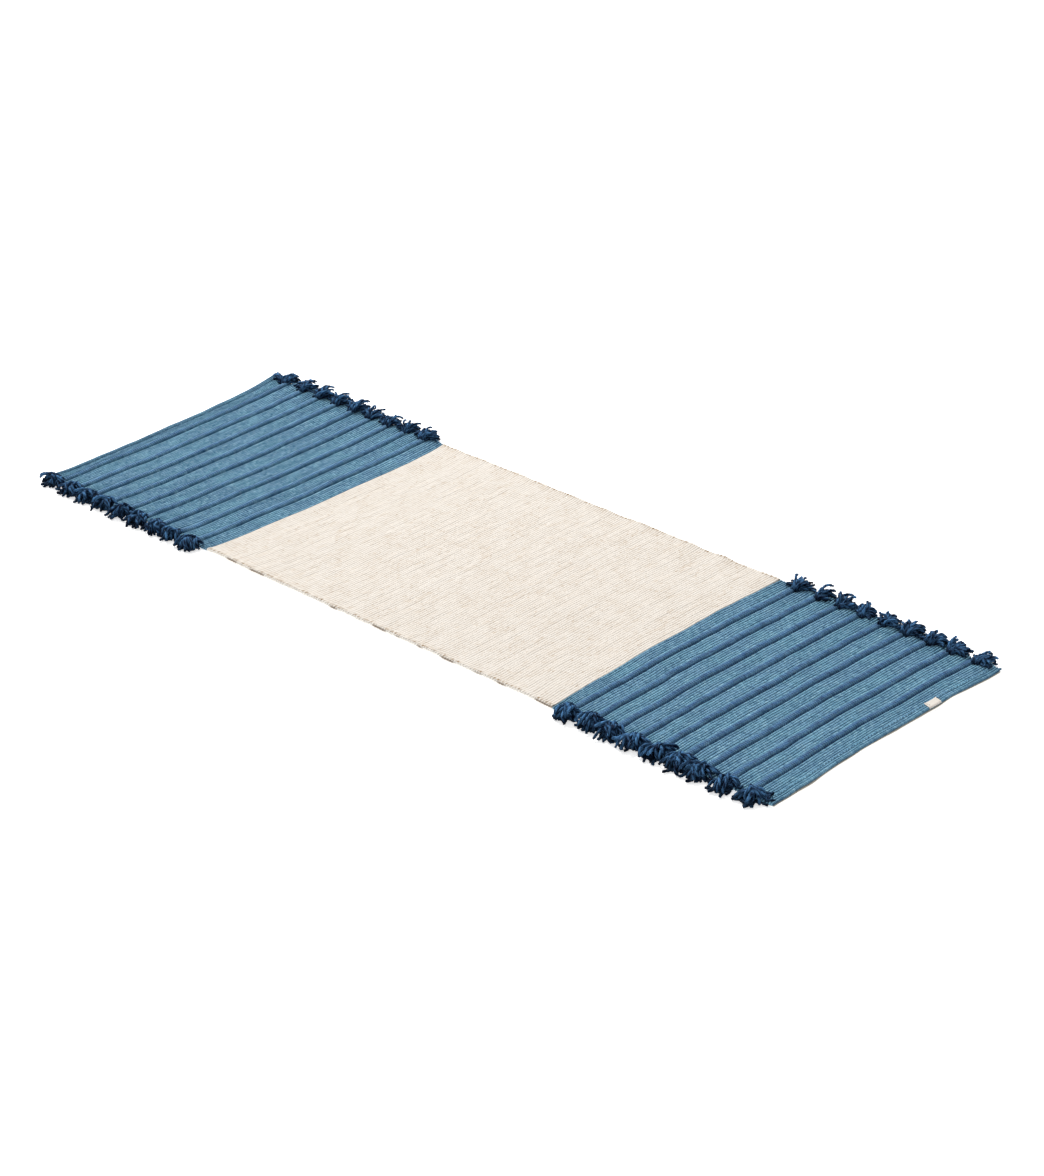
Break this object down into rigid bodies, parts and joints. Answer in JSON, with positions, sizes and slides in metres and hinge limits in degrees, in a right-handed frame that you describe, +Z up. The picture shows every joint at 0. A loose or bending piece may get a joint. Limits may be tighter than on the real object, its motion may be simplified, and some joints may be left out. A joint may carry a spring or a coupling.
{
  "type": "runner rug",
  "caption": "Flat-woven cotton runner rug with a cream centre, ribbed blue ends and navy tassels along both long edges; each end folds over the centre.",
  "frame": {"origin": "centre of the underside, midway along and across the rug, on the floor", "axes": "+X along the rug towards the end that carries the label, +Y across it towards the back edge, +Z up"},
  "size_m": [2, 0.7386, 0.018],
  "materials": {
    "cream_cotton": "matte undyed cotton, flat weave in thick soft weft",
    "blue_cotton": "matte light-blue cotton, flat weave with raised cross ribs",
    "navy_yarn": "matte navy cotton yarn, loosely twisted",
    "label_tape": "smooth white woven tape, blank"
  },
  "bodies": {
    "centre": {"centre_panel": "cream_cotton"},
    "left_fold": {"left_fold_band": "blue_cotton"},
    "left_end": {"left_end_panel": "blue_cotton", "left_rib_bundle_1": "navy_yarn", "left_back_tassel_1": "navy_yarn", "left_front_tassel_1": "navy_yarn", "left_rib_bundle_2": "navy_yarn", "left_back_tassel_2": "navy_yarn", "left_front_tassel_2": "navy_yarn", "left_rib_bundle_3": "navy_yarn", "left_back_tassel_3": "navy_yarn", "left_front_tassel_3": "navy_yarn", "left_rib_bundle_4": "navy_yarn", "left_back_tassel_4": "navy_yarn", "left_front_tassel_4": "navy_yarn", "left_rib_bundle_5": "navy_yarn", "left_back_tassel_5": "navy_yarn", "left_front_tassel_5": "navy_yarn", "left_rib_bundle_6": "navy_yarn", "left_back_tassel_6": "navy_yarn", "left_front_tassel_6": "navy_yarn", "left_rib_bundle_7": "navy_yarn", "left_back_tassel_7": "navy_yarn", "left_front_tassel_7": "navy_yarn", "left_rib_bundle_8": "navy_yarn", "left_back_tassel_8": "navy_yarn", "left_front_tassel_8": "navy_yarn", "left_rib_bundle_9": "navy_yarn", "left_back_tassel_9": "navy_yarn", "left_front_tassel_9": "navy_yarn"},
    "right_fold": {"right_fold_band": "blue_cotton"},
    "right_end": {"right_end_panel": "blue_cotton", "right_rib_bundle_1": "navy_yarn", "right_back_tassel_1": "navy_yarn", "right_front_tassel_1": "navy_yarn", "right_rib_bundle_2": "navy_yarn", "right_back_tassel_2": "navy_yarn", "right_front_tassel_2": "navy_yarn", "right_rib_bundle_3": "navy_yarn", "right_back_tassel_3": "navy_yarn", "right_front_tassel_3": "navy_yarn", "right_rib_bundle_4": "navy_yarn", "right_back_tassel_4": "navy_yarn", "right_front_tassel_4": "navy_yarn", "right_rib_bundle_5": "navy_yarn", "right_back_tassel_5": "navy_yarn", "right_front_tassel_5": "navy_yarn", "right_rib_bundle_6": "navy_yarn", "right_back_tassel_6": "navy_yarn", "right_front_tassel_6": "navy_yarn", "right_rib_bundle_7": "navy_yarn", "right_back_tassel_7": "navy_yarn", "right_front_tassel_7": "navy_yarn", "right_rib_bundle_8": "navy_yarn", "right_back_tassel_8": "navy_yarn", "right_front_tassel_8": "navy_yarn", "right_rib_bundle_9": "navy_yarn", "right_back_tassel_9": "navy_yarn", "right_front_tassel_9": "navy_yarn", "label": "label_tape"}
  },
  "joints": [
    {"name": "left_fold_hinge", "type": "hinge", "parent": "centre", "child": "left_fold", "pos_m": [-0.465, 0, 0.005], "axis": [0, 1, 0], "range_deg": [0, 90]},
    {"name": "left_end_hinge", "type": "hinge", "parent": "left_fold", "child": "left_end", "pos_m": [-0.481, 0, 0.005], "axis": [0, 1, 0], "range_deg": [0, 90]},
    {"name": "right_fold_hinge", "type": "hinge", "parent": "centre", "child": "right_fold", "pos_m": [0.465, 0, 0.005], "axis": [0, -1, 0], "range_deg": [0, 88.5]},
    {"name": "right_end_hinge", "type": "hinge", "parent": "right_fold", "child": "right_end", "pos_m": [0.481, 0, 0.005], "axis": [0, -1, 0], "range_deg": [0, 88.5]}
  ],
  "couplings": [
    {"joint": "left_end_hinge", "follows": "left_fold_hinge", "ratio": 1},
    {"joint": "right_end_hinge", "follows": "right_fold_hinge", "ratio": 1}
  ]
}
